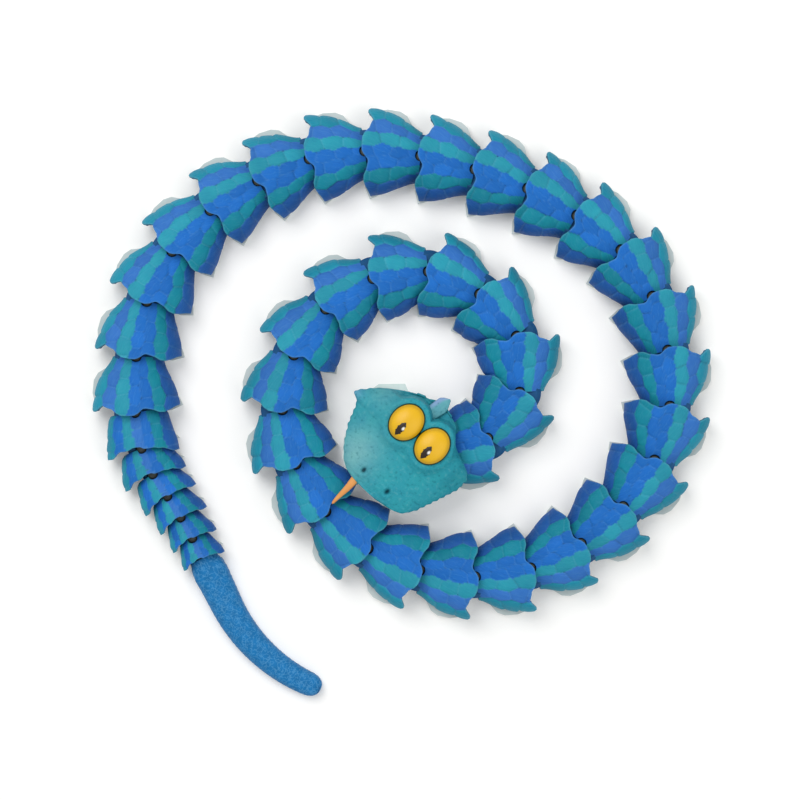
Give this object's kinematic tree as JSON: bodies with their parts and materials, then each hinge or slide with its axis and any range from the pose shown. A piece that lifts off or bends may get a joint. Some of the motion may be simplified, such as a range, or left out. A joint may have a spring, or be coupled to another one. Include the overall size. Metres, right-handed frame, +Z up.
{
  "type": "articulated snake toy",
  "caption": "Articulated snake toy lying coiled on its belly: broad head with two round eyes, scaled links that hinge on upright pins, and a plain curved tail tip.",
  "frame": {"origin": "on the table under the middle of the coiled toy's bounding box", "axes": "+Z up, square to the belly; seen from above as in the picture, +X to the picture's right and +Y to its top"},
  "size_m": [0.2512, 0.2371, 0.0326],
  "materials": {
    "shell_blue": "matte printed plastic, blue to teal in lengthwise stripes",
    "head_teal": "matte printed plastic with a foam-like pitted surface",
    "belly_white": "matte pale printed plastic",
    "eye_yellow": "smooth glossy yellow",
    "pupil_dark": "glossy near-black brown",
    "tongue_orange": "matte orange printed plastic"
  },
  "bodies": {
    "head": {"head_shell": "head_teal", "lower_jaw": "belly_white", "eye_left": "eye_yellow", "eye_right": "eye_yellow", "pupil_left": "pupil_dark", "pupil_right": "pupil_dark", "tongue": "tongue_orange"},
    "link_01": {"link_01": "shell_blue"},
    "link_02": {"link_02": "shell_blue"},
    "link_03": {"link_03": "shell_blue"},
    "link_04": {"link_04": "shell_blue"},
    "link_05": {"link_05": "shell_blue"},
    "link_06": {"link_06": "shell_blue"},
    "link_07": {"link_07": "shell_blue"},
    "link_08": {"link_08": "shell_blue"},
    "link_09": {"link_09": "shell_blue"},
    "link_10": {"link_10": "shell_blue"},
    "link_11": {"link_11": "shell_blue"},
    "link_12": {"link_12": "shell_blue"},
    "link_13": {"link_13": "shell_blue"},
    "link_14": {"link_14": "shell_blue"},
    "link_15": {"link_15": "shell_blue"},
    "link_16": {"link_16": "shell_blue"},
    "link_17": {"link_17": "shell_blue"},
    "link_18": {"link_18": "shell_blue"},
    "link_19": {"link_19": "shell_blue"},
    "link_20": {"link_20": "shell_blue"},
    "link_21": {"link_21": "shell_blue"},
    "link_22": {"link_22": "shell_blue"},
    "link_23": {"link_23": "shell_blue"},
    "link_24": {"link_24": "shell_blue"},
    "link_25": {"link_25": "shell_blue"},
    "link_26": {"link_26": "shell_blue"},
    "link_27": {"link_27": "shell_blue"},
    "link_28": {"link_28": "shell_blue"},
    "link_29": {"link_29": "shell_blue"},
    "link_30": {"link_30": "shell_blue"},
    "link_31": {"link_31": "shell_blue"},
    "link_32": {"link_32": "shell_blue"},
    "link_33": {"link_33": "shell_blue"},
    "link_34": {"link_34": "shell_blue"},
    "tail_link_1": {"tail_link_1": "shell_blue"},
    "tail_link_2": {"tail_link_2": "shell_blue"},
    "tail_link_3": {"tail_link_3": "shell_blue"},
    "tail_link_4": {"tail_link_4": "shell_blue"},
    "tail_link_5": {"tail_link_5": "shell_blue"},
    "tail_link_6": {"tail_link_6": "shell_blue"},
    "tail_tip": {"tail_tip": "shell_blue"}
  },
  "joints": [
    {"name": "neck_hinge", "type": "hinge", "parent": "head", "child": "link_01", "pos_m": [0.0126, -0.0213, 0.008], "axis": [0, 0, 1], "range_deg": [-17, 35]},
    {"name": "hinge_link_20_to_link_21", "type": "hinge", "parent": "link_20", "child": "link_21", "pos_m": [0.10656, 0.02058, 0.008], "axis": [0, 0, 1], "range_deg": [-42, 4]},
    {"name": "tail_hinge", "type": "hinge", "parent": "tail_link_6", "child": "tail_tip", "pos_m": [-0.08097, -0.06286, 0.008], "axis": [0, 0, 1], "range_deg": [-19, 20]},
    {"name": "hinge_link_28_to_link_29", "type": "hinge", "parent": "link_28", "child": "link_29", "pos_m": [-0.0373, 0.09759, 0.008], "axis": [0, 0, 1], "range_deg": [-43, 10]},
    {"name": "hinge_link_24_to_link_25", "type": "hinge", "parent": "link_24", "child": "link_25", "pos_m": [0.05037, 0.08562, 0.008], "axis": [0, 0, 1], "range_deg": [-37, 12]},
    {"name": "hinge_link_34_to_tail_link_1", "type": "hinge", "parent": "link_34", "child": "tail_link_1", "pos_m": [-0.10734, -0.00421, 0.008], "axis": [0, 0, 1], "range_deg": [-40, 16]},
    {"name": "hinge_tail_link_3_to_tail_link_4", "type": "hinge", "parent": "tail_link_3", "child": "tail_link_4", "pos_m": [-0.0949, -0.03784, 0.008], "axis": [0, 0, -1], "range_deg": [-17, 15]},
    {"name": "hinge_link_04_to_link_05", "type": "hinge", "parent": "link_04", "child": "link_05", "pos_m": [0.03108, 0.04316, 0.008], "axis": [0, 0, 1], "range_deg": [-40, 5]},
    {"name": "hinge_link_10_to_link_11", "type": "hinge", "parent": "link_10", "child": "link_11", "pos_m": [-0.04281, -0.02496, 0.008], "axis": [0, 0, 1], "range_deg": [-17, 6]},
    {"name": "hinge_link_32_to_link_33", "type": "hinge", "parent": "link_32", "child": "link_33", "pos_m": [-0.10266, 0.04037, 0.008], "axis": [0, 0, 1], "range_deg": [-44, 12]},
    {"name": "hinge_link_18_to_link_19", "type": "hinge", "parent": "link_18", "child": "link_19", "pos_m": [0.10114, -0.02353, 0.008], "axis": [0, 0, 1], "range_deg": [-28, 4]},
    {"name": "hinge_link_13_to_link_14", "type": "hinge", "parent": "link_13", "child": "link_14", "pos_m": [0.0068, -0.06759, 0.008], "axis": [0, 0, -1], "range_deg": [-16, 20]},
    {"name": "hinge_tail_link_2_to_tail_link_3", "type": "hinge", "parent": "tail_link_2", "child": "tail_link_3", "pos_m": [-0.10068, -0.02894, 0.008], "axis": [0, 0, 1], "range_deg": [-26, 6]},
    {"name": "hinge_link_22_to_link_23", "type": "hinge", "parent": "link_22", "child": "link_23", "pos_m": [0.08778, 0.06086, 0.008], "axis": [0, 0, 1], "range_deg": [-46, 7]},
    {"name": "hinge_link_07_to_link_08", "type": "hinge", "parent": "link_07", "child": "link_08", "pos_m": [-0.03067, 0.03732, 0.008], "axis": [0, 0, -1], "range_deg": [-2, 12]},
    {"name": "hinge_link_26_to_link_27", "type": "hinge", "parent": "link_26", "child": "link_27", "pos_m": [0.00739, 0.09876, 0.008], "axis": [0, 0, 1], "range_deg": [-37, 12]},
    {"name": "hinge_link_01_to_link_02", "type": "hinge", "parent": "link_01", "child": "link_02", "pos_m": [0.03412, -0.01472, 0.008], "axis": [0, 0, -1], "range_deg": [-2, 13]},
    {"name": "hinge_link_02_to_link_03", "type": "hinge", "parent": "link_02", "child": "link_03", "pos_m": [0.04702, 0.00371, 0.008], "axis": [0, 0, 1], "range_deg": [-13, 2]},
    {"name": "hinge_link_03_to_link_04", "type": "hinge", "parent": "link_03", "child": "link_04", "pos_m": [0.04584, 0.02618, 0.008], "axis": [0, 0, -1], "range_deg": [-2, 22]},
    {"name": "hinge_link_05_to_link_06", "type": "hinge", "parent": "link_05", "child": "link_06", "pos_m": [0.01053, 0.05231, 0.008], "axis": [0, 0, -1], "range_deg": [-3, 25]},
    {"name": "hinge_link_06_to_link_07", "type": "hinge", "parent": "link_06", "child": "link_07", "pos_m": [-0.0118, 0.04957, 0.008], "axis": [0, 0, 1], "range_deg": [-15, 2]},
    {"name": "hinge_link_08_to_link_09", "type": "hinge", "parent": "link_08", "child": "link_09", "pos_m": [-0.04358, 0.01888, 0.008], "axis": [0, 0, 1], "range_deg": [-12, 2]},
    {"name": "hinge_link_09_to_link_10", "type": "hinge", "parent": "link_09", "child": "link_10", "pos_m": [-0.04826, -0.00313, 0.008], "axis": [0, 0, -1], "range_deg": [-4, 11]},
    {"name": "hinge_link_11_to_link_12", "type": "hinge", "parent": "link_11", "child": "link_12", "pos_m": [-0.03089, -0.04404, 0.008], "axis": [0, 0, -1], "range_deg": [-13, 25]},
    {"name": "hinge_link_12_to_link_13", "type": "hinge", "parent": "link_12", "child": "link_13", "pos_m": [-0.01391, -0.0588, 0.008], "axis": [0, 0, 1], "range_deg": [-24, 17]},
    {"name": "hinge_link_14_to_link_15", "type": "hinge", "parent": "link_14", "child": "link_15", "pos_m": [0.02913, -0.07033, 0.008], "axis": [0, 0, 1], "range_deg": [-18, 12]},
    {"name": "hinge_link_15_to_link_16", "type": "hinge", "parent": "link_15", "child": "link_16", "pos_m": [0.05136, -0.06681, 0.008], "axis": [0, 0, -1], "range_deg": [-7, 17]},
    {"name": "hinge_link_16_to_link_17", "type": "hinge", "parent": "link_16", "child": "link_17", "pos_m": [0.07158, -0.05695, 0.008], "axis": [0, 0, 1], "range_deg": [-19, 6]},
    {"name": "hinge_link_17_to_link_18", "type": "hinge", "parent": "link_17", "child": "link_18", "pos_m": [0.08856, -0.04219, 0.008], "axis": [0, 0, -1], "range_deg": [-6, 21]},
    {"name": "hinge_link_19_to_link_20", "type": "hinge", "parent": "link_19", "child": "link_20", "pos_m": [0.10734, -0.00191, 0.008], "axis": [0, 0, -1], "range_deg": [-4, 46]},
    {"name": "hinge_link_21_to_link_22", "type": "hinge", "parent": "link_21", "child": "link_22", "pos_m": [0.10036, 0.04221, 0.008], "axis": [0, 0, -1], "range_deg": [-5, 46]},
    {"name": "hinge_link_23_to_link_24", "type": "hinge", "parent": "link_23", "child": "link_24", "pos_m": [0.07004, 0.07471, 0.008], "axis": [0, 0, -1], "range_deg": [-9, 37]},
    {"name": "hinge_link_25_to_link_26", "type": "hinge", "parent": "link_25", "child": "link_26", "pos_m": [0.02922, 0.09332, 0.008], "axis": [0, 0, -1], "range_deg": [-14, 34]},
    {"name": "hinge_link_27_to_link_28", "type": "hinge", "parent": "link_27", "child": "link_28", "pos_m": [-0.01502, 0.10072, 0.008], "axis": [0, 0, -1], "range_deg": [-11, 41]},
    {"name": "hinge_link_29_to_link_30", "type": "hinge", "parent": "link_29", "child": "link_30", "pos_m": [-0.05801, 0.0888, 0.008], "axis": [0, 0, -1], "range_deg": [-10, 37]},
    {"name": "hinge_link_30_to_link_31", "type": "hinge", "parent": "link_30", "child": "link_31", "pos_m": [-0.0771, 0.07688, 0.008], "axis": [0, 0, 1], "range_deg": [-43, 10]},
    {"name": "hinge_link_31_to_link_32", "type": "hinge", "parent": "link_31", "child": "link_32", "pos_m": [-0.09244, 0.06042, 0.008], "axis": [0, 0, -1], "range_deg": [-11, 44]},
    {"name": "hinge_link_33_to_link_34", "type": "hinge", "parent": "link_33", "child": "link_34", "pos_m": [-0.10695, 0.01829, 0.008], "axis": [0, 0, -1], "range_deg": [-14, 38]},
    {"name": "hinge_tail_link_1_to_tail_link_2", "type": "hinge", "parent": "tail_link_1", "child": "tail_link_2", "pos_m": [-0.10506, -0.01863, 0.008], "axis": [0, 0, -1], "range_deg": [-2, 30]},
    {"name": "hinge_tail_link_4_to_tail_link_5", "type": "hinge", "parent": "tail_link_4", "child": "tail_link_5", "pos_m": [-0.08957, -0.04638, 0.008], "axis": [0, 0, 1], "range_deg": [-13, 20]},
    {"name": "hinge_tail_link_5_to_tail_link_6", "type": "hinge", "parent": "tail_link_5", "child": "tail_link_6", "pos_m": [-0.08494, -0.05473, 0.008], "axis": [0, 0, -1], "range_deg": [-20, 14]}
  ]
}
